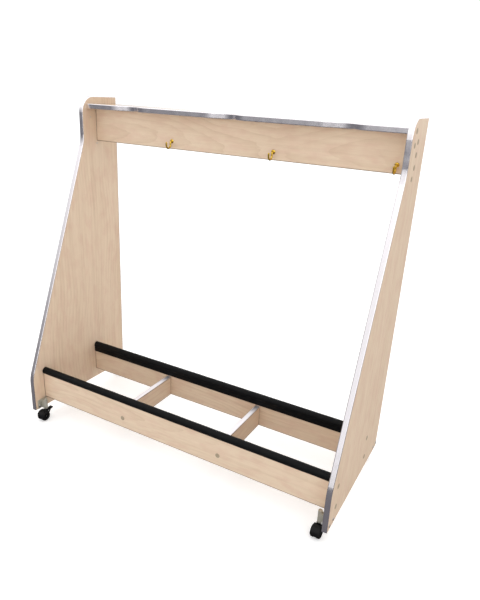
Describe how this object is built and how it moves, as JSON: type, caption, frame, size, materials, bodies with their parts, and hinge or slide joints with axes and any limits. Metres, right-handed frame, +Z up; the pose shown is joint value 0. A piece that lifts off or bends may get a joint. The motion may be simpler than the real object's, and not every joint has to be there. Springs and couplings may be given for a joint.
{
  "type": "guitar rack",
  "caption": "Mobile guitar rack: slanted end panels on side-mounted casters, padded lower rails with dividers, and a scalloped neck shelf with cup hooks.",
  "frame": {"origin": "on the floor, under the middle of the rack: the bottom centre of its bounding box", "axes": "+X to the right along the rack, +Y towards the back, +Z up"},
  "size_m": [1.2692, 0.5355, 1.245],
  "materials": {
    "maple": "maple-faced board, satin lacquer",
    "silver_band": "glossy metallic edge band",
    "pad": "matt black padded cover",
    "brass": "bright plated",
    "zinc": "passivated zinc plate",
    "steel": "zinc-plated fasteners",
    "nylon": "black moulded nylon",
    "wheel": "black moulded wheel",
    "cap": "beige-grey cover cap"
  },
  "bodies": {
    "rack": {"left_end_panel": "maple", "left_panel_band": "silver_band", "left_divider": "maple", "left_divider_band": "silver_band", "right_end_panel": "maple", "right_panel_band": "silver_band", "right_divider": "maple", "right_divider_band": "silver_band", "top_shelf": "maple", "shelf_band": "silver_band", "apron": "maple", "front_rail": "maple", "rear_rail": "maple", "front_rail_pad": "pad", "rear_rail_pad": "pad", "left_cup_hook": "brass", "middle_cup_hook": "brass", "right_cup_hook": "brass", "hook_cups": "brass", "caster_bracket_front_left": "zinc", "caster_stem_front_left": "steel", "caster_bracket_front_right": "zinc", "caster_stem_front_right": "steel", "caster_bracket_rear_left": "zinc", "caster_stem_rear_left": "steel", "caster_bracket_rear_right": "zinc", "caster_stem_rear_right": "steel", "shelf_screws": "steel", "apron_screws": "steel", "front_rail_screws": "steel", "rear_rail_screws": "steel", "divider_screws": "steel", "spare_hole_screws": "steel", "caster_bolts": "steel", "caster_nuts": "steel", "screw_caps": "cap"},
    "swivel_front_left": {"caster_hood_front_left": "nylon", "caster_axle_front_left": "steel"},
    "wheel_front_left_left": {"caster_wheel_front_left_left": "wheel"},
    "wheel_front_left_right": {"caster_wheel_front_left_right": "wheel"},
    "brake_front_left": {"brake_lever_front_left": "nylon"},
    "swivel_front_right": {"caster_hood_front_right": "nylon", "caster_axle_front_right": "steel"},
    "wheel_front_right_left": {"caster_wheel_front_right_left": "wheel"},
    "wheel_front_right_right": {"caster_wheel_front_right_right": "wheel"},
    "brake_front_right": {"brake_lever_front_right": "nylon"},
    "swivel_rear_left": {"caster_hood_rear_left": "nylon", "caster_axle_rear_left": "steel"},
    "wheel_rear_left_left": {"caster_wheel_rear_left_left": "wheel"},
    "wheel_rear_left_right": {"caster_wheel_rear_left_right": "wheel"},
    "swivel_rear_right": {"caster_hood_rear_right": "nylon", "caster_axle_rear_right": "steel"},
    "wheel_rear_right_left": {"caster_wheel_rear_right_left": "wheel"},
    "wheel_rear_right_right": {"caster_wheel_rear_right_right": "wheel"}
  },
  "joints": [
    {"name": "swivel_front_left", "type": "hinge", "parent": "rack", "child": "swivel_front_left", "pos_m": [-0.594, -0.2325, 0.0435], "axis": [0, 0, 1], "continuous": true},
    {"name": "spin_front_left_left", "type": "hinge", "parent": "swivel_front_left", "child": "wheel_front_left_left", "pos_m": [-0.6046, -0.2475, 0.02], "axis": [1, 0, 0], "continuous": true},
    {"name": "spin_front_left_right", "type": "hinge", "parent": "swivel_front_left", "child": "wheel_front_left_right", "pos_m": [-0.5834, -0.2475, 0.02], "axis": [1, 0, 0], "continuous": true},
    {"name": "brake_front_left", "type": "hinge", "parent": "swivel_front_left", "child": "brake_front_left", "pos_m": [-0.594, -0.22, 0.035], "axis": [-1, 0, 0], "range_deg": [0, 15]},
    {"name": "swivel_front_right", "type": "hinge", "parent": "rack", "child": "swivel_front_right", "pos_m": [0.594, -0.2325, 0.0435], "axis": [0, 0, 1], "continuous": true},
    {"name": "spin_front_right_left", "type": "hinge", "parent": "swivel_front_right", "child": "wheel_front_right_left", "pos_m": [0.5834, -0.2475, 0.02], "axis": [1, 0, 0], "continuous": true},
    {"name": "spin_front_right_right", "type": "hinge", "parent": "swivel_front_right", "child": "wheel_front_right_right", "pos_m": [0.6046, -0.2475, 0.02], "axis": [1, 0, 0], "continuous": true},
    {"name": "brake_front_right", "type": "hinge", "parent": "swivel_front_right", "child": "brake_front_right", "pos_m": [0.594, -0.22, 0.035], "axis": [-1, 0, 0], "range_deg": [0, 15]},
    {"name": "swivel_rear_left", "type": "hinge", "parent": "rack", "child": "swivel_rear_left", "pos_m": [-0.594, 0.2415, 0.0435], "axis": [0, 0, 1], "continuous": true},
    {"name": "spin_rear_left_left", "type": "hinge", "parent": "swivel_rear_left", "child": "wheel_rear_left_left", "pos_m": [-0.6046, 0.2265, 0.02], "axis": [1, 0, 0], "continuous": true},
    {"name": "spin_rear_left_right", "type": "hinge", "parent": "swivel_rear_left", "child": "wheel_rear_left_right", "pos_m": [-0.5834, 0.2265, 0.02], "axis": [1, 0, 0], "continuous": true},
    {"name": "swivel_rear_right", "type": "hinge", "parent": "rack", "child": "swivel_rear_right", "pos_m": [0.594, 0.2415, 0.0435], "axis": [0, 0, 1], "continuous": true},
    {"name": "spin_rear_right_left", "type": "hinge", "parent": "swivel_rear_right", "child": "wheel_rear_right_left", "pos_m": [0.5834, 0.2265, 0.02], "axis": [1, 0, 0], "continuous": true},
    {"name": "spin_rear_right_right", "type": "hinge", "parent": "swivel_rear_right", "child": "wheel_rear_right_right", "pos_m": [0.6046, 0.2265, 0.02], "axis": [1, 0, 0], "continuous": true}
  ]
}
